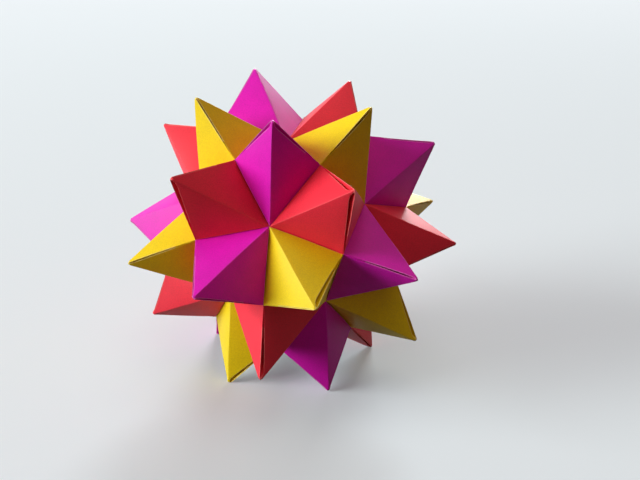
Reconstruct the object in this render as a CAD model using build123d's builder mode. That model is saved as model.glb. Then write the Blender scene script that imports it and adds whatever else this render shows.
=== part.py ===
from build123d import *
import os
from math import acos, atan, cos, degrees, hypot, radians, sin, sqrt, tan

# A folded paper ball of thirty units, each folded from one square sheet.
# Millimetres, +Z up. The origin is on the floor under the middle of the ball.
# The ball stands on the five tips around its lowest crater. One crater of
# the upper ring faces -Y.

# Sheet and folds
sheet_side = 75.0           # side of the square that one unit is folded from
paper = 0.22                # thickness of one layer
hem_layers = 2              # layers of a face that lies over the next unit
fit = 0.06                  # room between one unit's paper and the next one's
crease_round = 0.30         # outer radius of a mountain fold

# Tip of a unit
tip_blunt = 0.9             # how much of the sharp tip is pressed away
tip_flat = 0.20             # half width of the flat on the blunt tip
cap_half = 0.75             # half length of the closed corner at the tip

# Slits on the ridges, between the two petals of a unit
slit_width = 1.5            # width of the slit at the tip
slit_depth = 8.5            # how far the gusset's fold lies under the tip
slit_from_node = 1.3        # length of the ridge that stays closed at the node
lip_bevel = 0.30            # width that the fold of a slit's lip takes off it

# Tabs, where a face carries on under the next unit's face
tab_from_crater = 4.5       # from the crater to the tab along the valley
tab_from_node = 5.3         # from the node to the tab along the valley
tab_end = 3.4               # width of the tab's blunt end

# Symmetry of the ball
golden = (1 + sqrt(5)) / 2
two_to_three = atan(1 / golden ** 2)    # unit's axis to the nearest node
two_to_five = atan(1 / golden)          # unit's axis to the nearest crater
ring_rise = atan(1 / 2)                 # a ring of craters over the middle

# A petal is a square of side leg, folded on its diagonal from tip to crater
leg = sheet_side / (2 * sqrt(2))


def ridge_lean(crease_lean):
    return acos(1 / (sqrt(2) * cos(crease_lean)))


def tip_misfit(crease_lean):
    lean = ridge_lean(crease_lean)
    by_crater = sqrt(2) * (golden * sin(crease_lean) + cos(crease_lean))
    by_node = golden ** 2 * sin(lean) + cos(lean)
    return by_crater - by_node


# The lean of the crease that puts tip, crater and node each on its own axis
low = radians(25)
high = radians(35)
for step in range(60):
    middle = (low + high) / 2
    if tip_misfit(low) * tip_misfit(middle) <= 0:
        high = middle
    else:
        low = middle
crease_lean = (low + high) / 2

tip_up = leg * sqrt(2) * (golden * sin(crease_lean) + cos(crease_lean))
node_out = leg * sin(ridge_lean(crease_lean))
crater_out = leg * sqrt(2) * sin(crease_lean)

# One unit about its own axis: nodes to -X and +X, craters to -Y and +Y
tip = Vector(0, 0, tip_up)
node = {s: Vector(s * node_out, 0, node_out / tan(two_to_three)) for s in (-1, 1)}
crater = {s: Vector(0, s * crater_out, crater_out / tan(two_to_five)) for s in (-1, 1)}
faces = [(-1, -1), (-1, 1), (1, -1), (1, 1)]
over_faces = [(-1, -1), (1, 1)]     # these lie over the next unit
under_faces = [(-1, 1), (1, -1)]    # these go under it and end in a tab
block = 2 * leg
skirt = leg / 10
spike_deep = tip_up - crater[1].Z + skirt


def side_of(s):
    return Align.MIN if s > 0 else Align.MAX


def face_normal(x, y):
    normal = (crater[y] - tip).cross(node[x] - tip).normalized()
    return normal if normal.Z > 0 else normal * -1


def cell_normal(x, y):
    normal = node[x].cross(crater[y]).normalized()
    return normal if normal.X * x > 0 else normal * -1


def mirrored(vector, x, y):
    across = cell_normal(x, y)
    return vector - across * (2 * vector.dot(across))


def next_normal(x, y):
    return mirrored(face_normal(x, y), x, y)


def keep_under(point, normal):
    split(bisect_by=Plane(origin=point, z_dir=normal), keep=Keep.BOTTOM)


def keep_over(point, normal):
    split(bisect_by=Plane(origin=point, z_dir=normal), keep=Keep.TOP)


# What a face that lies over loses, where it ends on the next unit's face
beyond_next = []
for x, y in over_faces:
    outer = next_normal(x, y)
    with BuildPart() as beyond:
        Box(block, block, 2 * tip_up, align=(Align.CENTER, side_of(y), Align.CENTER))
        keep_under(node[x] + outer * fit, outer)
    beyond_next.append(beyond.part)

# Outer form of one unit, a four-sided spike with rounded folds
with BuildPart() as spike:
    with Locations((0, 0, tip_up - tip_blunt)):
        Box(block, block, spike_deep, align=(Align.CENTER, Align.CENTER, Align.MAX))
    for x, y in faces:
        keep_under(tip, face_normal(x, y))
    sloping = [e for e in spike.edges() if abs(e.tangent_at(0.5).Z) > 0.1]
    creases = [e for e in sloping if abs(e.center().X) < fit]
    fillet(creases, crease_round)
    # The tip is pressed blunt
    shoulder = Vector(0, 0, tip_up - tip_blunt + tip_flat)
    for x, y in faces:
        steep = face_normal(x, y)
        keep_under(shoulder, Vector(steep.X, steep.Y, hypot(steep.X, steep.Y)))
    # A face that lies under ends at the valley
    for x, y in under_faces:
        side = cell_normal(x, y)
        keep_under(node[x] - side * (fit / 2), side)
    add(beyond_next, mode=Mode.SUBTRACT)

# Gussets: paper that goes in at each ridge slit and back out. The slit and
# the bevel of its lips both run out to nothing at the slit's end
slit_end = {s: node[s] + (tip - node[s]).normalized() * slit_from_node for s in (-1, 1)}
slit_foot = tip - Vector(0, 0, slit_depth)


def ridge_normal(x):
    return Vector(0, 1, 0).cross(tip - node[x]).normalized() * x


def slit_lip(x, y):
    outer = face_normal(x, y)
    drop = abs(outer.Y) / outer.dot(ridge_normal(x)) * slit_width / 2
    return tip + Vector(0, y * slit_width / 2, 0) - ridge_normal(x) * drop


def lip_normal(x, y):
    normal = (slit_foot - slit_end[x]).cross(slit_lip(x, y) - slit_end[x]).normalized()
    return normal if normal.Y * y > 0 else normal * -1


def bevel_normal(x, y):
    lip = slit_lip(x, y)
    on_face = lip + (lip - tip).normalized() * lip_bevel
    on_wall = lip + (slit_foot - lip).normalized() * lip_bevel
    normal = (on_face - slit_end[x]).cross(on_wall - slit_end[x]).normalized()
    return normal if normal.Z > 0 else normal * -1


def foot_normal(x):
    normal = (slit_foot - slit_end[x]).cross(Vector(0, 1, 0)).normalized()
    return normal if normal.Z < 0 else normal * -1


slit_cuts = []
gusset_blocks = []
for x in (-1, 1):
    with BuildPart() as slit:
        with Locations((x * cap_half, 0, tip_up)):
            Box(block, block, block, align=(side_of(x), Align.CENTER, Align.CENTER))
        for y in (-1, 1):
            keep_under(slit_foot, lip_normal(x, y))
    slit_cuts.append(slit.part)
    for y in (-1, 1):
        with BuildPart() as bevel:
            with Locations((x * cap_half, 0, tip_up)):
                Box(block, block, block, align=(side_of(x), side_of(y), Align.CENTER))
            keep_over(slit_end[x], bevel_normal(x, y))
        slit_cuts.append(bevel.part)
    with BuildPart() as gusset:
        with Locations((0, 0, tip_up)):
            Box(block, block, block, align=(side_of(x), Align.CENTER, Align.CENTER))
        for y in (-1, 1):
            side = lip_normal(x, y)
            keep_under(slit_foot + side * paper, side)
        below = foot_normal(x)
        keep_under(slit_foot + below * paper, below)
    gusset_blocks.append(gusset.part)

# Room inside the unit, between its faces and around its gussets
with BuildPart() as room:
    with Locations((0, 0, tip_up)):
        Box(block, block, block, align=(Align.CENTER, Align.CENTER, Align.MAX))
    for x, y in over_faces:
        outer = face_normal(x, y)
        keep_under(tip - outer * (hem_layers * paper), outer)
    for x, y in under_faces:
        outer = face_normal(x, y)
        keep_under(tip - outer * paper, outer)
    add(gusset_blocks, mode=Mode.SUBTRACT)

# A tab has a strip in the plane of its own face, which passes through the
# valley, and a leaf that lies inside the hem of the next unit's face
tab_top = hem_layers * paper + fit
tab_low = tab_top + paper
lap = 2 * tab_low
tab_near = tab_from_node
tab_far = leg - tab_from_crater
tab_reach = tab_far - tab_near - tab_end


def valley_plane(x, y, normal, depth):
    along = (crater[y] - node[x]).normalized()
    return Plane(origin=node[x] - normal * depth, x_dir=along, z_dir=normal)


tabs = []
for x, y in under_faces:
    own = face_normal(x, y)
    outer = next_normal(x, y)
    rise = (tip - node[x]).normalized()
    own_plane = valley_plane(x, y, own, 0)
    up = 1 if own_plane.y_dir.dot(rise) > 0 else -1
    strip_corners = [(tab_near, up * lap), (tab_far, up * lap), (tab_far, -up * lap), (tab_near, -up * lap)]
    with BuildPart() as strip:
        with BuildSketch(own_plane):
            with BuildLine():
                Polyline(strip_corners, close=True)
            make_face()
        extrude(amount=-paper)
        keep_over(node[x] - outer * tab_low, outer)
    tabs.append(strip.part)
    next_plane = valley_plane(x, y, outer, tab_top)
    up = 1 if next_plane.y_dir.dot(mirrored(rise, x, y)) > 0 else -1
    leaf_corners = [
        (tab_near, -up * lap),
        (tab_far, -up * lap),
        (tab_far, 0),
        (tab_near + tab_end, up * tab_reach),
        (tab_near, up * tab_reach),
    ]
    with BuildPart() as leaf:
        with BuildSketch(next_plane):
            with BuildLine():
                Polyline(leaf_corners, close=True)
            make_face()
        extrude(amount=-paper)
        keep_over(node[x] - own * paper, own)
    tabs.append(leaf.part)

with BuildPart() as unit:
    add(spike.part)
    add(slit_cuts, mode=Mode.SUBTRACT)
    add(room.part, mode=Mode.SUBTRACT)
    add(tabs)

# The ball: twelve crater axes, and a unit over each pair of neighbours


def direction(rise, turn):
    return Vector(cos(rise) * cos(turn), cos(rise) * sin(turn), sin(rise))


crater_axes = [Vector(0, 0, 1), Vector(0, 0, -1)]
for k in range(5):
    crater_axes.append(direction(ring_rise, radians(270 + 72 * k)))
    crater_axes.append(direction(-ring_rise, radians(306 + 72 * k)))

# Rings of units from the top down: rise over the middle, first turn about
# +Z, step between units, colours of the sheets
upper = 90 - degrees(two_to_five)
middle_ten = ["yellow", "magenta", "red", "yellow", "red", "magenta", "yellow", "magenta", "yellow", "magenta"]
unit_rings = [
    (upper, 270, 72, ["magenta", "yellow", "red", "magenta", "yellow"]),
    (90 - upper, 306, 72, ["red", "magenta", "yellow", "red", "red"]),
    (0, 288, 36, middle_ten),
    (upper - 90, 270, 72, ["red", "yellow", "magenta", "red", "red"]),
    (-upper, 306, 72, ["magenta", "red", "yellow", "magenta", "yellow"]),
]


def unit_place(rise, turn, centre_up):
    out = direction(rise, turn)
    nearest = max(crater_axes, key=lambda axis: axis.dot(out))
    to_crater = (nearest - out * nearest.dot(out)).normalized()
    return Plane(origin=(0, 0, centre_up), x_dir=to_crater.cross(out), z_dir=out)


# The lowest ring of tips stands on the floor
with BuildPart() as standing:
    with Locations(unit_place(radians(-upper), radians(306), 0).location):
        add(unit.part)
centre_up = -standing.part.bounding_box().min.Z

os.makedirs("parts", exist_ok=True)
count = {"magenta": 0, "red": 0, "yellow": 0}
for rise, first, step, colours in unit_rings:
    for k, colour in enumerate(colours):
        place = unit_place(radians(rise), radians(first + step * k), centre_up)
        count[colour] += 1
        name = f"{colour}_unit_{count[colour]:02d}"
        with BuildPart() as placed:
            with Locations(place.location):
                add(unit.part)
        placed.part.label = name
        export_step(placed.part, f"parts/{name}.step")
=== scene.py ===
import math
import random
import bmesh
import bpy
from mathutils import Matrix, Vector, noise


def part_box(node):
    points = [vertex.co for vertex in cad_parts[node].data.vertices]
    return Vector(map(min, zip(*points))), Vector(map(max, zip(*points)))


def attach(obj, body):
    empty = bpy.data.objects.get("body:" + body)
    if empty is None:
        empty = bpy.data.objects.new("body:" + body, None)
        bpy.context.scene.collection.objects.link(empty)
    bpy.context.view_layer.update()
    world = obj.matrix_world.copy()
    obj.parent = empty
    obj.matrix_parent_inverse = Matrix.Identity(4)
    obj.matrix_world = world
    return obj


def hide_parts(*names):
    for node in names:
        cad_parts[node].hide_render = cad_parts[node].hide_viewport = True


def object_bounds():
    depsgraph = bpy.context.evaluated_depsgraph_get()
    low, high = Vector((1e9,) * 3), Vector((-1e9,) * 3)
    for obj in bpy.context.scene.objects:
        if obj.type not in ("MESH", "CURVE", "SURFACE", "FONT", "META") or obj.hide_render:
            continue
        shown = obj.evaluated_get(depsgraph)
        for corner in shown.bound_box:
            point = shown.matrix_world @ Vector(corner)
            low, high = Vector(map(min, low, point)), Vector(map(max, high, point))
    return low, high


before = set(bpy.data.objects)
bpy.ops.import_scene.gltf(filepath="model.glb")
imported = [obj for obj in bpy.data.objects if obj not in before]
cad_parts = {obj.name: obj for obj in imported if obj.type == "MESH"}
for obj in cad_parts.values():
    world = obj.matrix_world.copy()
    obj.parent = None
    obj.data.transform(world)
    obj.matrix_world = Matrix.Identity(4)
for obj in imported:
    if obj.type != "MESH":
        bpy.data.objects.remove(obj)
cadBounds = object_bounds()
mm = 0.001
tiny = 0.002 * mm             # places nearer to each other than this are one
bpy.context.scene.view_settings.view_transform = "Standard"
print("frame loaded,", len(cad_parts), "nodes")

# what the thirty folded units are made from, lengths in mm
unitPlan = {
    "sheetSide": 75.0,        # side of the square sheet
    "paper": 0.22,            # thickness of one layer
    "steps": 20,              # divisions of a petal's side
    "slitDeep": 8.5,          # how far the gusset's fold lies under the tip
    "slitLeast": 0.20,        # narrowest slit
    "slitHold": 0.05,         # share of the ridge over which the slit closes at the node
    "lipRise": 0.10,          # how far a lip stands up from the two faces
    "lipGrow": (0.22, 0.28),  # share of its full fold that a lip gains a step, from the node and from the tip
    "tipBlunt": 0.95,         # how far the tip is pressed down
    "foldRound": 0.32,        # width that a lip's fold takes
    "foldSegments": 3,
    "foldLeast": 25.0,        # degrees, flatter folds are left as they are
    "foldHalf": 0.5,          # share of that width for creases, valleys and tabs
    "foldClosed": 0.12,       # and for the closed stretch of a ridge
    "smoothUnder": 48.0,      # degrees, sharper edges stay sharp in the shading
    "hemThick": 0.62,         # outer thickness of a folded edge
    "hemReach": 3.0,          # how far a folded edge goes back inside
    "hemDraw": 1.1,           # how much it gets shorter on the way, times its reach
    "tabLead": 1.15,          # how far a tab dives past the valley before it turns
    "tabEase": 3.0,           # stretch at both ends of the valley over which it starts to dive
    "tabReach": 8.0,
    "tabParts": 2,
    "tabFromNode": 5.3,
    "tabFromCrater": 4.5,
}

# geometry of the folded unit about its own axis
golden = (1 + math.sqrt(5)) / 2
toNode = math.atan(1 / golden ** 2)
toCrater = math.atan(1 / golden)
leg = unitPlan["sheetSide"] * mm / (2 * math.sqrt(2))


def ridgeLean(creaseLean):
    return math.acos(1 / (math.sqrt(2) * math.cos(creaseLean)))


def tipMisfit(creaseLean):
    # how much the tip's height by way of the crater differs from that by way of the node
    lean = ridgeLean(creaseLean)
    byCrater = math.sqrt(2) * (golden * math.sin(creaseLean) + math.cos(creaseLean))
    return byCrater - golden ** 2 * math.sin(lean) - math.cos(lean)


low, high = math.radians(25), math.radians(35)      # the lean lies between these
for halving in range(60):
    middle = (low + high) / 2
    if tipMisfit(low) * tipMisfit(middle) <= 0:
        high = middle
    else:
        low = middle
creaseLean = (low + high) / 2
tipOut = leg * math.sqrt(2) * (golden * math.sin(creaseLean) + math.cos(creaseLean))
nodeOut = leg * math.sin(ridgeLean(creaseLean))
craterOut = leg * math.sqrt(2) * math.sin(creaseLean)
tip = Vector((0, 0, tipOut))
node = {s: Vector((s * nodeOut, 0, nodeOut / math.tan(toNode))) for s in (-1, 1)}
crater = {s: Vector((0, s * craterOut, craterOut / math.tan(toCrater))) for s in (-1, 1)}
overFaces = [(1, 1), (-1, -1)]      # these end in a folded edge on the next unit
underFaces = [(1, -1), (-1, 1)]     # these go on under the next unit
faces = overFaces + underFaces
ridges = [(tip, node[s]) for s in (-1, 1)]
creases = [(tip, crater[s]) for s in (-1, 1)]
valleys = [(node[x], crater[y]) for x, y in faces]


def signOf(value):
    return 1 if value > 0 else -1


def faceNormal(x, y):
    normal = (crater[y] - tip).cross(node[x] - tip).normalized()
    return normal if normal.z > 0 else -normal


def cellNormal(x, y):
    # of the plane through a valley and the ball's middle, across which the next unit lies
    normal = node[x].cross(crater[y]).normalized()
    return normal if normal.x * x > 0 else -normal


def mirrored(vector, x, y):
    across = cellNormal(x, y)
    return vector - across * (2 * vector.dot(across))


def lineFar(point, start, end):
    along = (end - start).normalized()
    reach = max(0.0, min((end - start).length, (point - start).dot(along)))
    return (point - start - along * reach).length


def smooth(value):
    value = max(0.0, min(1.0, value))
    return value * value * (3 - 2 * value)


# edit-mode helpers: selection by place, on the active mesh
def pick(kind, test):
    bpy.ops.mesh.select_mode(type=kind)
    bpy.ops.mesh.select_all(action="DESELECT")
    grid = bmesh.from_edit_mesh(bpy.context.active_object.data)
    for item in {"VERT": grid.verts, "EDGE": grid.edges}[kind]:
        if test(item):
            item.select_set(True)
    grid.select_flush_mode()
    bmesh.update_edit_mesh(bpy.context.active_object.data)


def eachPicked(move):
    grid = bmesh.from_edit_mesh(bpy.context.active_object.data)
    for vert in grid.verts:
        if vert.select:
            vert.co = move(vert.co.copy())
    bmesh.update_edit_mesh(bpy.context.active_object.data)


def mergeClose():
    bpy.ops.mesh.select_mode(type="VERT")
    bpy.ops.mesh.select_all(action="SELECT")
    bpy.ops.mesh.remove_doubles(threshold=tiny)


def applyModifier(piece, kind, **settings):
    modifier = piece.modifiers.new(kind.title(), kind)
    for name, value in settings.items():
        setattr(modifier, name, value)
    bpy.context.view_layer.objects.active = piece
    bpy.ops.object.modifier_apply(modifier=modifier.name)


# one unit: a petal is a square folded on its diagonal
bpy.ops.object.select_all(action="DESELECT")
bpy.ops.mesh.primitive_plane_add(size=leg, location=(0, 0, 0))
pattern = bpy.context.active_object
pattern.name = "unitPattern"
bpy.ops.object.mode_set(mode="EDIT")
half = leg / 2
corners = [(-half, -half, tip), (half, -half, node[1]), (half, half, crater[1]), (-half, half, node[-1])]
for x, y, goal in corners:
    start = Vector((x, y, 0))
    pick("VERT", lambda v: (v.co - start).length < tiny)
    bpy.ops.transform.translate(value=goal - start)
pick("VERT", lambda v: min((v.co - tip).length, (v.co - crater[1]).length) < tiny)
bpy.ops.mesh.vert_connect()
bpy.ops.mesh.select_all(action="SELECT")
bpy.ops.mesh.normals_make_consistent(inside=False)
bpy.ops.mesh.subdivide(number_cuts=unitPlan["steps"] - 1)

# the second petal is the first one turned half round
bpy.ops.mesh.select_all(action="SELECT")
bpy.ops.mesh.duplicate()
bpy.ops.transform.rotate(value=math.pi, orient_axis="Z", center_override=(0, 0, 0))
mergeClose()

# the ridges are cut open but for one step at each node; walls go in from the
# lips to the gusset's fold, and the tip stays closed for one step
ridgeStep = nodeOut / unitPlan["steps"]
slitSpan = nodeOut - ridgeStep


def ridgeHeight(co):
    return tip.z + (node[1].z - tip.z) * abs(co.x) / nodeOut


def onRidge(co):
    return abs(co.y) < tiny and abs(co.z - ridgeHeight(co)) < tiny


def ridgeEdge(edge, inner):
    a, b = (v.co for v in edge.verts)
    return onRidge(a) and onRidge(b) and inner < abs(a.x + b.x) / 2 < slitSpan


def slitShare(co):
    return max(0.0, (slitSpan - abs(co.x)) / slitSpan)


def lipEdge(edge, side):
    # a lip of the cut that belongs to the faces on this side
    if not (edge.is_boundary and ridgeEdge(edge, ridgeStep)):
        return False
    return edge.link_faces[0].calc_center_median().y * side > 0


pick("EDGE", lambda e: ridgeEdge(e, 0))
bpy.ops.mesh.edge_split(type="EDGE")
for side in (1, -1):
    pick("EDGE", lambda e: lipEdge(e, side))
    bpy.ops.mesh.extrude_edges_move()
    eachPicked(lambda co: co - Vector((0, 0, unitPlan["slitDeep"] * mm * slitShare(co))))


def foldFull(out):
    # how much of its full width a lip's fold has, less towards both ends of the slit
    fromNode, fromTip = unitPlan["lipGrow"]
    return max(0.0, min(1.0, fromNode * (slitSpan - out) / ridgeStep, fromTip * (out / ridgeStep - 1)))


# each lip draws back a little on its own face
lipUp = {x: (faceNormal(x, 1) + faceNormal(x, -1)).normalized() for x in (-1, 1)}
grid = bmesh.from_edit_mesh(pattern.data)
for vert in grid.verts:
    share = slitShare(vert.co)
    if onRidge(vert.co) and share > 0.001 and abs(vert.co.x) > ridgeStep / 2:
        x, y = signOf(vert.co.x), signOf(sum(f.calc_center_median().y for f in vert.link_faces))
        back = (crater[y] - node[x]).normalized()
        least = unitPlan["slitLeast"] * mm * min(1, share / unitPlan["slitHold"])
        vert.co += back * (least / 2 / abs(back.y))
        vert.co += lipUp[x] * (unitPlan["lipRise"] * mm * foldFull(abs(vert.co.x)))
bmesh.update_edit_mesh(pattern.data)
mergeClose()


# each slit is closed at its upper end, and the tip is pressed blunt
def atTip(co):
    return (co - tip).length < tiny


def slitTop(co, s):
    # the upper end of both lips on one ridge
    near = abs(co.x - s * ridgeStep) < 0.3 * mm and lineFar(co, tip, node[s]) < 0.4 * mm
    return near and abs(co.y) > tiny


def slitFoot(co, s):
    # the point of the gusset's fold right under it
    return abs(co.x - s * ridgeStep) < tiny and abs(co.y) < tiny and co.z < tip.z - 5 * mm


for s in (1, -1):
    pick("VERT", lambda v: atTip(v.co) or slitTop(v.co, s))
    bpy.ops.mesh.edge_face_add()
    pick("VERT", lambda v: slitTop(v.co, s) or slitFoot(v.co, s))
    bpy.ops.mesh.edge_face_add()
pick("VERT", lambda v: atTip(v.co))
bpy.ops.transform.translate(value=(0, 0, -unitPlan["tipBlunt"] * mm))
print("petals folded, ridges slit and gusseted")


def valleyEdge(edge, x, y):
    return edge.is_boundary and all(lineFar(v.co, node[x], crater[y]) < tiny for v in edge.verts)


# folded edges: down at the valley, then back up inside the face
hemReach = unitPlan["hemReach"] * mm
for x, y in overFaces:
    inward = -faceNormal(x, y)
    rise = (tip - node[x]).normalized()
    along = (node[x] - crater[y]).normalized()
    pick("EDGE", lambda e: valleyEdge(e, x, y))
    bpy.ops.mesh.extrude_edges_move(TRANSFORM_OT_translate={"value": inward * unitPlan["hemThick"] * mm})
    bpy.ops.mesh.extrude_edges_move()
    draw = hemReach * unitPlan["hemDraw"]
    eachPicked(lambda co: co + rise * hemReach + along * (draw * (co - node[x]).dot(-along) / leg))

# tabs: past the valley in the face's own plane, then up inside the next unit
lead, ease = unitPlan["tabLead"] * mm, unitPlan["tabEase"] * mm
nearEnd, farEnd = unitPlan["tabFromNode"] * mm, leg - unitPlan["tabFromCrater"] * mm
tabStep = unitPlan["tabReach"] * mm / unitPlan["tabParts"]
for x, y in underFaces:
    rise = (tip - node[x]).normalized()
    nextRise = mirrored(rise, x, y)
    along = (crater[y] - node[x]).normalized()

    def dived(co):
        fromNode, fromCrater = (co - node[x]).dot(along), (crater[y] - co).dot(along)
        return co - rise * lead * smooth(fromNode / ease) * smooth(fromCrater / ease)

    def tabRoot(vert):
        out = vert.co - node[x]
        deep = abs(out.dot(-rise) - lead) < tiny and abs(out.dot(faceNormal(x, y))) < tiny
        return deep and nearEnd < out.dot(along) < farEnd

    def narrowed(co):
        return co - along * (tabStep * max(0.0, (co - node[x]).dot(along) - nearEnd) / (farEnd - nearEnd))

    pick("EDGE", lambda e: valleyEdge(e, x, y))
    bpy.ops.mesh.extrude_edges_move()
    eachPicked(dived)
    pick("EDGE", lambda e: e.is_boundary and all(tabRoot(v) for v in e.verts))
    for part in range(unitPlan["tabParts"]):
        bpy.ops.mesh.extrude_edges_move(TRANSFORM_OT_translate={"value": nextRise * tabStep})
        eachPicked(narrowed)
mergeClose()


def farEndOff(edge, lines):
    # how far the edge's farther end lies from the nearest of these lines
    return max(min(lineFar(v.co, *line) for line in lines) for v in edge.verts)


def foldWeight(edge):
    # lips are rounded fully between their ends, other folds less
    a, b = (v.co for v in edge.verts)
    fromRidge = farEndOff(edge, ridges)
    if farEndOff(edge, creases) < 0.7 * mm and abs(a.x) < tiny and abs(b.x) < tiny:
        return unitPlan["foldHalf"]
    if onRidge(a) and onRidge(b):
        return unitPlan["foldClosed"]
    if farEndOff(edge, valleys) < 1.5 * mm and fromRidge > tiny:
        return unitPlan["foldHalf"]
    if fromRidge < 0.5 * mm and a.y * b.y >= 0 and min(abs(a.x), abs(b.x)) > ridgeStep * 0.8:
        return foldFull((abs(a.x) + abs(b.x)) / 2)
    return 0.0


grid = bmesh.from_edit_mesh(pattern.data)
layers = grid.edges.layers.float
weights = layers.get("bevel_weight_edge") or layers.new("bevel_weight_edge")
for edge in grid.edges:
    if len(edge.link_faces) == 2 and edge.calc_face_angle() >= math.radians(unitPlan["foldLeast"]):
        edge[weights] = foldWeight(edge)
bmesh.update_edit_mesh(pattern.data)
bpy.ops.object.mode_set(mode="OBJECT")
applyModifier(pattern, "BEVEL", width=unitPlan["foldRound"] * mm, segments=unitPlan["foldSegments"],
              limit_method="WEIGHT", use_clamp_overlap=False)

# how far each point lies from the nearest fold that is paled by wear and by painted highlight, for the
# paper's finish
wearAndHighlightTo = 0.72                 # share of a ridge whose lips are paled by wear and by painted highlight
farLines = {
    "lipFar": [(tip, tip.lerp(node[s], wearAndHighlightTo)) for s in (-1, 1)],
    "hemFar": [(node[x], crater[y]) for x, y in overFaces],
    "creaseFar": creases,
    "tipFar": [(tip, tip + Vector((0, 0, 1 * mm)))],
}
for name, lines in farLines.items():
    layer = pattern.data.attributes.new(name, "FLOAT", "POINT")
    for k, vert in enumerate(pattern.data.vertices):
        layer.data[k].value = min(lineFar(vert.co, a, b) for a, b in lines) / mm
print("unit pattern:", len(pattern.data.vertices), "points,", len(pattern.data.polygons), "faces")

# places of the thirty units: a unit over each pair of neighbouring craters
ballCentre = (Vector(cadBounds[0]) + Vector(cadBounds[1])) / 2
ringRise = math.atan(1 / 2)


def direction(rise, turn):
    return Vector((math.cos(rise) * math.cos(turn), math.cos(rise) * math.sin(turn), math.sin(rise)))


craterAxes = [Vector((0, 0, 1)), Vector((0, 0, -1))]
for k in range(5):
    craterAxes.append(direction(ringRise, math.radians(270 + 72 * k)))
    craterAxes.append(direction(-ringRise, math.radians(306 + 72 * k)))
unitAxes = []
for i, a in enumerate(craterAxes):
    for b in craterAxes[i + 1:]:
        if a.dot(b) > 0.4:        # neighbours have 0.447, others less than 0
            unitAxes.append((a + b).normalized())
print("unit axes:", len(unitAxes))


def unitPlace(nodeName):
    # the turn from the pattern's own directions to the unit's
    lowest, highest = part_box(nodeName)
    towards = (Vector(lowest) + Vector(highest)) / 2 - ballCentre
    out = max(unitAxes, key=lambda axis: axis.dot(towards))
    nearest = max(craterAxes, key=lambda axis: axis.dot(out))
    upwards = (nearest - out * nearest.dot(out)).normalized()
    return Matrix((upwards.cross(out), upwards, out)).transposed()


names = sorted(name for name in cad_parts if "_unit_" in name)
places = {name: unitPlace(name) for name in names}

cameraPlan = {
    "from": (70.3, -355.3, 157.2),        # mm from the middle of the ball
    "right": (0.9862, 0.1652, 0.0058),
    "down": (0.0724, -0.4002, -0.9135),
    "lens": 59.3,
}
cameraRight = Vector(cameraPlan["right"]).normalized()
cameraDown = Vector(cameraPlan["down"]).normalized()
cameraSpot = ballCentre + Vector(cameraPlan["from"]) * mm

# how each unit differs by hand folding, lengths in mm
handPlan = {
    "slitMore": (0.25, 1.25),     # least and most extra slit at the tip
    "slitLean": (0.30, 0.70),     # share of a slit's width that is taken from one of its two faces
    "slitLeanSeen": 0.95,         # that share for the face turned to the camera, on the slits in slitSeen
    "slitTaper": 0.45,            # how fast a slit opens with distance from the tip
    "slitEnds": (0.90, 0.12),     # its narrowing: power of the way to the node, share of the ridge at the tip
    "lipMoves": (0.8, 1.2),       # a lip moves whole as far as this from the ridge, and fades over that
    "skin": 0.3,                  # depth to which a point counts as on the face
    "tipRise": 0.80,              # stretch of the tip before it is pressed
    "sag": (0.20, 0.52),          # dip of a face that goes under, at the valley
    "sagWide": 8.0,               # width of that dip
    "sagDeep": 3.0,               # depth of the layers that dip with it
    "lift": (0.00, 0.22),         # how far a folded edge stands off the next face
    "liftWide": 9.0,
    "liftDeep": 1.2,
    "valleyEnds": 0.16,           # share of the valley at each end over which sag and lift fade
    "pillow": (0.10, 0.32),       # swell in the middle of a face
    "seed": 7,
    "warp": 0.35,                 # slow wander of the whole ball
    "warpWide": 26.0,
    "warpFrom": 12.0,             # height over the floor at which it is full
    "warpShift": (3.1, 7.7, 1.3),
    "warpSeed": 3,
}

# tips that the photograph shows off their even places, as seen from the
# camera: mm to the right, mm up
tipNudge = {
    "magenta_unit_01": (1.35, -0.05), "magenta_unit_02": (1.0, 1.1), "magenta_unit_03": (1.4, -0.65),
    "magenta_unit_04": (0.9, 1.3), "magenta_unit_06": (0.1, -0.55), "magenta_unit_07": (-1.25, -0.45),
    "magenta_unit_09": (0.4, 0.9), "magenta_unit_10": (-1.0, -0.4), "red_unit_01": (-0.85, -1.7),
    "red_unit_02": (-0.95, 1.85), "red_unit_03": (-1.65, 0.6), "red_unit_04": (0.0, 1.75),
    "red_unit_05": (0.0, -0.7), "red_unit_07": (-0.1, -0.5), "red_unit_09": (0.4, 1.1),
    "yellow_unit_01": (-0.25, -0.4), "yellow_unit_02": (0.0, -0.5), "yellow_unit_03": (1.8, -1.4),
    "yellow_unit_04": (0.95, -0.85), "yellow_unit_05": (1.05, 0.9), "yellow_unit_07": (-0.15, -1.1),
    "yellow_unit_08": (0.1, -0.35), "yellow_unit_10": (1.0, 0.1),
}

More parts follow.
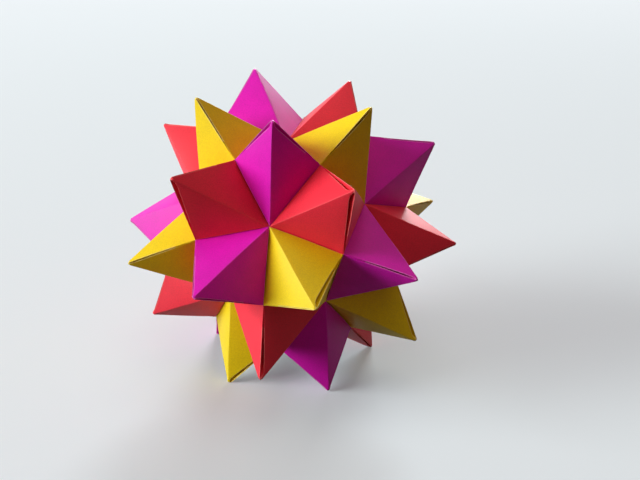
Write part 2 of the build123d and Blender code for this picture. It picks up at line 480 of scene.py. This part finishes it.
# nodes and craters off their even places in the same way, named by the units that meet there
spotPulls = [
    (("magenta_unit_01", "red_unit_04", "yellow_unit_02"), (0.95, -0.25)),
    (("magenta_unit_01", "red_unit_02", "yellow_unit_01"), (-0.55, -0.15)),
    (("magenta_unit_07", "red_unit_04", "yellow_unit_07"), (-0.95, 0.85)),
    (("magenta_unit_07", "red_unit_07", "yellow_unit_04"), (-0.65, -1.35)),
    (("magenta_unit_04", "red_unit_02", "yellow_unit_04"), (0.4, -0.2)),
    (("magenta_unit_04", "red_unit_05", "yellow_unit_08"), (0.0, 0.4)),
    (("magenta_unit_02", "red_unit_03", "yellow_unit_02"), (-2.9, 1.1)),
    (("magenta_unit_02", "red_unit_01", "yellow_unit_03"), (0.4, 0.3)),
    (("magenta_unit_03", "red_unit_01", "yellow_unit_01"), (0.5, 1.5)),
    (("magenta_unit_03", "red_unit_05", "yellow_unit_05"), (1.4, -1.1)),
    (("magenta_unit_06", "red_unit_03", "yellow_unit_06"), (-1.5, 2.2)),
    (("magenta_unit_06", "red_unit_09", "yellow_unit_07"), (-1.9, -1.6)),
    (("magenta_unit_10", "red_unit_09", "yellow_unit_10"), (-2.0, 0.0)),
    (("magenta_unit_01", "magenta_unit_07", "red_unit_02", "red_unit_04", "yellow_unit_04"), (-0.7, -0.9)),
    (("magenta_unit_03", "magenta_unit_04", "red_unit_02", "red_unit_05", "yellow_unit_01"), (0.0, 0.95)),
    (("magenta_unit_01", "magenta_unit_02", "red_unit_01", "yellow_unit_01", "yellow_unit_02"), (-0.6, 0.2)),
    (("magenta_unit_06", "red_unit_03", "red_unit_04", "yellow_unit_02", "yellow_unit_07"), (-1.3, 0.0)),
    (("magenta_unit_07", "red_unit_07", "red_unit_09", "yellow_unit_07", "yellow_unit_10"), (1.25, 0.0)),
]

# slits whose width the photograph shows, mm at the tip: on the -x ridge, on the +x ridge
slitSeen = {
    "magenta_unit_01": (0.85, 0.85), "magenta_unit_03": (0.45, 0.45), "magenta_unit_04": (0.35, 0.35),
    "magenta_unit_07": (0.30, 0.30), "red_unit_02": (1.25, 1.25), "red_unit_04": (0.10, 1.20),
    "red_unit_07": (1.00, 1.00), "yellow_unit_01": (0.60, 0.60), "yellow_unit_02": (0.25, 0.25),
    "yellow_unit_04": (0.15, 1.15), "yellow_unit_07": (0.30, 0.30), "yellow_unit_08": (0.80, 0.80),
    "yellow_unit_10": (0.95, 0.95),
}


def asSeen(pair):
    # mm to the right and up in the photograph, as a move in the world
    return (cameraRight * pair[0] - cameraDown * pair[1]) * mm


def axisOf(name):
    return places[name] @ Vector((0, 0, 1))


pulls = []
for sharers, pair in spotPulls:
    towards = sum((axisOf(name) for name in sharers), Vector()).normalized()
    radius = (node[1] if len(sharers) == 3 else crater[1]).length
    pulls.append((towards * radius, asSeen(pair)))


def tipMoveOf(name):
    # the whole move of a unit's tip, in the world's directions
    return asSeen(tipNudge.get(name, (0, 0))) + places[name] @ Vector((0, 0, handPlan["tipRise"] * mm))


def nextMoveOf(name, face):
    # the same for the unit across a valley, in this unit's own directions
    across = places[name] @ mirrored(Vector((0, 0, 1)), *face)
    other = max(names, key=lambda each: axisOf(each).dot(across))
    return places[name].transposed() @ tipMoveOf(other)


def pullAt(place, corner):
    # the move of a unit's node or crater, in the unit's own directions
    found = [move for spot, move in pulls if (place @ corner - spot).length < 1 * mm]
    return place.transposed() @ (found[0] if found else Vector())


faceNormals = {face: faceNormal(*face) for face in faces}
cellNormals = {face: cellNormal(*face) for face in faces}
lipBack = {(x, y): (crater[y] - node[x]).normalized() for x, y in faces}
shareOf = {(x, y): Matrix((tip, node[x], crater[y])).transposed().inverted() for x, y in faces}


def cornerShares(face, co):
    # what tip, node and crater each contribute to a point, together 1
    parts = shareOf[face] @ co
    total = parts[0] + parts[1] + parts[2]
    return [part / total for part in parts]


def lipMove(co, face, onFace, hand):
    # the lips of the slit part by this unit's own width, and the walls under them follow
    x = face[0]
    whole, fade = (value * mm for value in handPlan["lipMoves"])
    follows = 1 - smooth((lineFar(co, tip, node[x]) - whole) / fade) if onFace else 0.0
    if not onFace and abs(co.y) < fade and abs(co.x) < slitSpan:
        deep = unitPlan["slitDeep"] * mm * slitShare(co)
        under = ridgeHeight(co) - co.z
        if deep > 0 and under < deep + 1 * mm:
            follows = max(0.0, 1 - under / deep)
    if follows == 0 or abs(co.y) <= tiny / 4:
        return Vector()
    back = lipBack[face]
    power, tipEnd = handPlan["slitEnds"]
    share = slitShare(co)
    wedge = share ** power * smooth((1 - share) / tipEnd)
    widest = handPlan["slitTaper"] * leg * abs(co.x) / nodeOut
    opened = min(hand["slit"][x] * hand["lean"][face] * mm / abs(back.y) * wedge, widest)
    return back * (opened * follows)


def handFolded(co, hand):
    # moves one point of the pattern as a hand-folded sheet would have it
    x, y = face = (signOf(co.x), signOf(co.y))
    normal = faceNormals[face]
    below = (tip - co).dot(normal)            # depth under the face
    t, n, c = cornerShares(face, co)
    fromValley = t * leg
    onFace = below < handPlan["skin"] * mm
    moved = co.copy()
    if onFace:                                # 27 makes the product 1 in the face's middle
        moved += normal * (27 * max(0.0, t) * max(0.0, n) * max(0.0, c) * hand["pillow"][face] * mm)
    alongValley = c / max(1e-6, n + c)
    fade = handPlan["valleyEnds"]
    ends = smooth(alongValley / fade) * smooth((1 - alongValley) / fade)
    if face in underFaces:
        dip = max(0.0, 1 - max(0.0, fromValley) / (handPlan["sagWide"] * mm)) ** 2
        if below < handPlan["sagDeep"] * mm or fromValley < 0:
            moved -= normal * (dip * ends * hand["sag"][face] * mm)
    else:
        raised = max(0.0, 1 - max(0.0, fromValley) / (handPlan["liftWide"] * mm)) ** 2
        if below < handPlan["liftDeep"] * mm:
            moved += normal * (raised * ends * hand["lift"][face] * mm)
    moved += lipMove(co, face, onFace, hand)
    # tip, node and crater each carry their own share, so folds between them stay
    # straight; a tab goes with the tip of the unit that covers it
    tipMove = hand["tipMove"]
    if face in underFaces and co.dot(cellNormals[face]) > 0:
        t, n, c = cornerShares(face, mirrored(co, x, y))
        tipMove = hand["nextMove"][face]
    moved += tipMove * max(0.0, t)
    return moved + hand["nodePull"][x] * max(0.0, n) + hand["craterPull"][y] * max(0.0, c)


def warped(co):
    wander = noise.noise_vector(co / (handPlan["warpWide"] * mm) + Vector(handPlan["warpShift"]))
    return wander * (handPlan["warp"] * mm) * smooth(co.z / (handPlan["warpFrom"] * mm))


def between(span):
    return random.uniform(span[0], span[1])


def slitLeans(name):
    # which share of each slit's width is taken from which of its two faces
    place, lean = places[name], {}
    for x in (-1, 1):
        share = between(handPlan["slitLean"])
        ridgeSpot = ballCentre + place @ ((tip + node[x]) / 2)
        turned = [(place @ faceNormals[x, y]).dot(cameraSpot - ridgeSpot) for y in (-1, 1)]
        if name in slitSeen:
            share = handPlan["slitLeanSeen"] if turned[1] > turned[0] else 1 - handPlan["slitLeanSeen"]
        lean[x, 1], lean[x, -1] = share, 1 - share
    return lean


random.seed(handPlan["seed"])
noise.seed_set(handPlan["warpSeed"])
units = []
for name in names:
    place = places[name]
    slit = slitSeen.get(name) or (between(handPlan["slitMore"]), between(handPlan["slitMore"]))
    hand = {
        "slit": {-1: slit[0], 1: slit[1]},
        "lean": slitLeans(name),
        "pillow": {face: between(handPlan["pillow"]) for face in faces},
        "sag": {face: between(handPlan["sag"]) for face in faces},
        "lift": {face: between(handPlan["lift"]) for face in faces},
        "tipMove": place.transposed() @ tipMoveOf(name),
        "nextMove": {face: nextMoveOf(name, face) for face in underFaces},
        "nodePull": {s: pullAt(place, node[s]) for s in (-1, 1)},
        "craterPull": {s: pullAt(place, crater[s]) for s in (-1, 1)},
    }
    mesh = pattern.data.copy()
    piece = bpy.data.objects.new(name.replace("_unit_", "_paper_"), mesh)
    bpy.context.scene.collection.objects.link(piece)
    for vert in mesh.vertices:
        spot = ballCentre + place @ handFolded(vert.co, hand)
        spot += warped(spot)
        vert.co = spot
    applyModifier(piece, "SOLIDIFY", thickness=unitPlan["paper"] * mm, offset=-1,
                  use_even_offset=False, use_rim=True)
    for vert in mesh.vertices:
        vert.co.z = max(vert.co.z, 0.0)          # tips on the floor are pressed flat
    units.append((name, piece))
bpy.data.objects.remove(pattern)
print("thirty units placed")

for name, piece in units:
    bpy.ops.object.select_all(action="DESELECT")
    piece.select_set(True)
    bpy.context.view_layer.objects.active = piece
    bpy.ops.object.shade_smooth_by_angle(angle=math.radians(unitPlan["smoothUnder"]))
    applyModifier(piece, "WEIGHTED_NORMAL", mode="FACE_AREA_WITH_ANGLE", weight=90, keep_sharp=True)
    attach(piece, "root")
    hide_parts(name)
    name.split("_")[0] + "_paper"
print("units shaded and put on the root")


class Wire:
    # a socket of a material; sums, differences and products add Math nodes
    def __init__(self, tree, socket):
        self.tree, self.socket = tree, socket

    def make(self, kind, settings, inputs, out=0):
        made = self.tree.nodes.new(kind)
        for key, value in settings.items():
            setattr(made, key, value)
        for key, value in inputs.items():
            if isinstance(value, Wire):
                self.tree.links.new(value.socket, made.inputs[key])
            else:
                made.inputs[key].default_value = value
        return Wire(self.tree, made.outputs[out])

    def math(self, kind, first, second):
        return self.make("ShaderNodeMath", {"operation": kind}, {0: first, 1: second})

    def __add__(self, other):
        return self.math("ADD", self, other)

    def __radd__(self, other):
        return self.math("ADD", other, self)

    def __sub__(self, other):
        return self.math("SUBTRACT", self, other)

    def __rsub__(self, other):
        return self.math("SUBTRACT", other, self)

    def __mul__(self, other):
        return self.math("MULTIPLY", self, other)

    def __rmul__(self, other):
        return self.math("MULTIPLY", other, self)

    def least(self, other):
        return self.math("MINIMUM", self, other)

    def fade(self, start, end):
        # 0 below start, 1 above end, smooth between
        return self.make("ShaderNodeMapRange", {"interpolation_type": "SMOOTHSTEP"},
                         {"Value": self, "From Min": start, "From Max": end, "To Min": 0.0, "To Max": 1.0})

    def blend(self, first, second):
        # colour mix with this wire as the factor
        return self.make("ShaderNodeMix", {"data_type": "RGBA"}, {0: self, 6: first, 7: second}, out=2)


def opaque(colour, times=1.0):
    return (*[min(1.0, value * times) for value in colour], 1)


# the paper's finish, with pale folds that are partly worn paper and partly painted highlight, sizes in mm
finishPlan = {
    "fibre": 0.44, "fibreDepth": 0.80,          # size of the grain, and its share of the colour
    "strand": 1.1, "strandDepth": 0.14,         # longer fibres
    "strandFade": (0.60, 0.72), "strandShare": 0.33,
    "strandWays": ((1.0, 5.0, 1.6), (5.0, 1.0, 1.4), (1.3, 1.5, 5.0)),
    "cloud": 7.0, "cloudDepth": 0.28,           # slow unevenness of the dye
    "deepest": 0.76, "palest": 1.18,            # range of the dye, times the base colour
    "lip": (0.34, 0.42), "hem": (0.28, 0.20),   # folds paled by wear and by painted highlight: width and strength
    # creases get only a faint painted highlight; tips are paled by wear and by painted highlight
    "crease": (0.20, 0.04), "tip": (0.90, 0.50),
    "wearAndHighlightFade": (0.5, 1.6),                     # of that width: pale in full up to here, not at all past here
    "wearAndHighlightPatches": (0.55, 0.90), "wearAndHighlightMost": 0.7,
    "rough": 0.50, "roughFibre": 0.14, "roughOnPaleFolds": 0.10,
    "bump": 0.07, "bumpDeep": 0.05,
    "tooth": 0.22, "bumpShares": (0.6, 0.5, 0.4),   # finest grain; fibre, strands and tooth in the bump
    "shine": 0.26, "sheen": 0.03, "sheenRough": 0.45,
    # each paper's base colour, and the pale colour of its folds, which is partly worn paper and partly
    # painted highlight
    "colours": {
        "magenta": {"base": (0.77, 0.005, 0.53), "wearAndHighlight": (0.98, 0.52, 0.86)},
        "red": {"base": (0.88, 0.028, 0.056), "wearAndHighlight": (0.98, 0.42, 0.36)},
        "yellow": {"base": (0.88, 0.69, 0.003), "wearAndHighlight": (0.99, 0.90, 0.50)},
    },
}


def paperFinish(colourName, base, wearAndHighlightColour):
    plan = finishPlan
    material = bpy.data.materials.new(colourName + "CraftPaper")
    material.use_nodes = True
    tree = material.node_tree
    tree.nodes.clear()
    start = Wire(tree, None)
    where = start.make("ShaderNodeTexCoord", {}, {}, out="Object")

    def grain(size, detail, rough=0.6, stretch=(1, 1, 1)):
        spot = start.make("ShaderNodeMapping", {}, {"Vector": where, "Scale": stretch})
        return start.make("ShaderNodeTexNoise", {}, {
            "Vector": spot, "Scale": 1 / (size * mm), "Detail": detail, "Roughness": rough})

    def wearAndHighlightBy(name):
        # how strongly these folds are paled, partly by wear and partly as painted highlight
        wide, strength = plan[name]
        far = start.make("ShaderNodeAttribute", {"attribute_name": name + "Far"}, {}, out="Fac")
        whole, none = plan["wearAndHighlightFade"]
        return (1 - far.fade(wide * whole, wide * none)) * strength

    fibre = grain(plan["fibre"], 3.0)
    strands = 0
    for stretch in plan["strandWays"]:
        strand = grain(plan["strand"], 1.0, 0.5, stretch).fade(*plan["strandFade"])
        strands = strands + strand * plan["strandShare"]
    cloud = grain(plan["cloud"], 2.0)
    uneven = (fibre - 0.5) * plan["fibreDepth"] + (cloud - 0.5) * plan["cloudDepth"]
    tone = (0.5 + uneven + strands * plan["strandDepth"]).fade(0.0, 1.0)
    sheet = tone.blend(opaque(base, plan["deepest"]), opaque(base, plan["palest"]))
    patchLeast, patchMore = plan["wearAndHighlightPatches"]
    # pale folds: partly worn paper, partly painted highlight along lips, hems, creases and tips
    wearAndHighlight = wearAndHighlightBy("lip") + wearAndHighlightBy("hem") + wearAndHighlightBy("crease") + wearAndHighlightBy("tip")
    wearAndHighlight = wearAndHighlight * (patchLeast + fibre * patchMore)
    colour = wearAndHighlight.least(plan["wearAndHighlightMost"]).blend(sheet, opaque(wearAndHighlightColour))
    rough = plan["rough"] + (fibre - 0.5) * plan["roughFibre"] + wearAndHighlight * plan["roughOnPaleFolds"]
    byFibre, byStrands, byTooth = plan["bumpShares"]
    height = fibre * byFibre + strands * byStrands + grain(plan["tooth"], 2.0) * byTooth
    bump = start.make("ShaderNodeBump", {}, {
        "Strength": plan["bump"], "Distance": plan["bumpDeep"] * mm, "Height": height})
    shader = start.make("ShaderNodeBsdfPrincipled", {}, {
        "Base Color": colour, "Roughness": rough, "Normal": bump, "Specular IOR Level": plan["shine"],
        "Sheen Weight": plan["sheen"], "Sheen Roughness": plan["sheenRough"]})
    out = tree.nodes.new("ShaderNodeOutputMaterial")
    tree.links.new(shader.socket, out.inputs["Surface"])
    return material


papers = {}
for colourName, colours in finishPlan["colours"].items():
    papers[colourName] = paperFinish(colourName, colours["base"], colours["wearAndHighlight"])
for name, piece in units:
    piece.data.materials.clear()
    piece.data.materials.append(papers[name.split("_")[0]])
print("craft paper finished in", ", ".join(papers))

# floor, lamps and camera
skyPlan = {"light": 0.195, "tint": (1.0, 0.54, 0.50), "shown": (0.86, 0.87, 0.89)}
floorPlan = {
    "size": 12.0, "shown": (0.61, 0.705, 0.742), "glow": 0.22, "bounced": (0.04, 0.04, 0.05),
    "fadeFrom": 0.45, "fadeTo": 1.50,     # metres out over which it turns into the background's tone
}


def shownRays(start):
    # 1 for the rays that show the background itself
    seen = 0
    for ray in ("Is Camera Ray", "Is Glossy Ray", "Is Transmission Ray"):
        seen = seen + start.make("ShaderNodeLightPath", {}, {}, out=ray)
    return seen.least(1.0)


bpy.ops.object.select_all(action="DESELECT")
bpy.ops.mesh.primitive_plane_add(size=floorPlan["size"], location=(0, 0, 0))
floor = bpy.context.active_object
floor.name = "studioFloor"
floorMaterial = bpy.data.materials.new("studioFloorPaint")
floorMaterial.use_nodes = True
floorTree = floorMaterial.node_tree
floorTree.nodes.clear()
floorStart = Wire(floorTree, None)
seen = shownRays(floorStart)
floorColour = seen.blend(opaque(floorPlan["bounced"]), opaque(floorPlan["shown"]))
floorCoat = floorStart.make("ShaderNodeBsdfDiffuse", {}, {"Color": floorColour})
floorGlow = floorStart.make("ShaderNodeEmission", {}, {
    "Color": opaque(floorPlan["shown"]), "Strength": seen * floorPlan["glow"]})
floorNear = floorStart.make("ShaderNodeAddShader", {}, {0: floorCoat, 1: floorGlow})
floorFar = floorStart.make("ShaderNodeEmission", {}, {"Color": opaque(skyPlan["shown"]), "Strength": seen})
floorSpot = floorStart.make("ShaderNodeTexCoord", {}, {}, out="Object")
floorOutward = floorStart.make("ShaderNodeVectorMath", {"operation": "LENGTH"}, {0: floorSpot}, out="Value")
farShare = floorOutward.fade(floorPlan["fadeFrom"], floorPlan["fadeTo"])
floorBoth = floorStart.make("ShaderNodeMixShader", {}, {0: farShare, 1: floorNear, 2: floorFar})
floorOut = floorTree.nodes.new("ShaderNodeOutputMaterial")
floorTree.links.new(floorBoth.socket, floorOut.inputs["Surface"])
floor.data.materials.append(floorMaterial)

world = bpy.data.worlds.new("studioWorld")
world.use_nodes = True
worldTree = world.node_tree
worldTree.nodes.clear()
worldStart = Wire(worldTree, None)
skyLight = opaque([value * skyPlan["light"] for value in skyPlan["tint"]])
skyColour = shownRays(worldStart).blend(skyLight, opaque(skyPlan["shown"]))
sky = worldStart.make("ShaderNodeBackground", {}, {"Color": skyColour, "Strength": 1.0})
worldOut = worldTree.nodes.new("ShaderNodeOutputWorld")
worldTree.links.new(sky.socket, worldOut.inputs["Surface"])
bpy.context.scene.world = world

# soft round lamps: place and size in mm
lampPlan = {
    "window": {"from": (-3130, -1140, 1020), "size": 2300, "watts": 150, "tint": (1.0, 0.985, 0.96)},
    "ceiling": {"from": (200, 300, 3500), "size": 2600, "watts": 24, "tint": (1.0, 0.90, 0.80)},
    "behind": {"from": (-60, 3100, 760), "size": 1300, "watts": 118, "tint": (0.98, 0.99, 1.0)},
}
for lampName, plan in lampPlan.items():
    data = bpy.data.lights.new(lampName + "Lamp", "AREA")
    data.shape, data.size, data.energy, data.color = "DISK", plan["size"] * mm, plan["watts"], plan["tint"]
    lamp = bpy.data.objects.new(lampName + "Lamp", data)
    lamp.location = ballCentre + Vector(plan["from"]) * mm
    lamp.rotation_euler = (ballCentre - lamp.location).to_track_quat("-Z", "Y").to_euler()
    lamp.visible_camera = False
    bpy.context.scene.collection.objects.link(lamp)

cameraData = bpy.data.cameras.new("studioCamera")
cameraData.lens = cameraPlan["lens"]
cameraData.clip_start = 0.01
camera = bpy.data.objects.new("studioCamera", cameraData)
bpy.context.scene.collection.objects.link(camera)
cameraUp = -cameraDown
aim = Matrix((cameraRight, cameraUp, cameraRight.cross(cameraUp))).transposed()
camera.matrix_world = Matrix.Translation(cameraSpot) @ aim.to_4x4()
bpy.context.scene.camera = camera
print("floor, lamps and camera set")
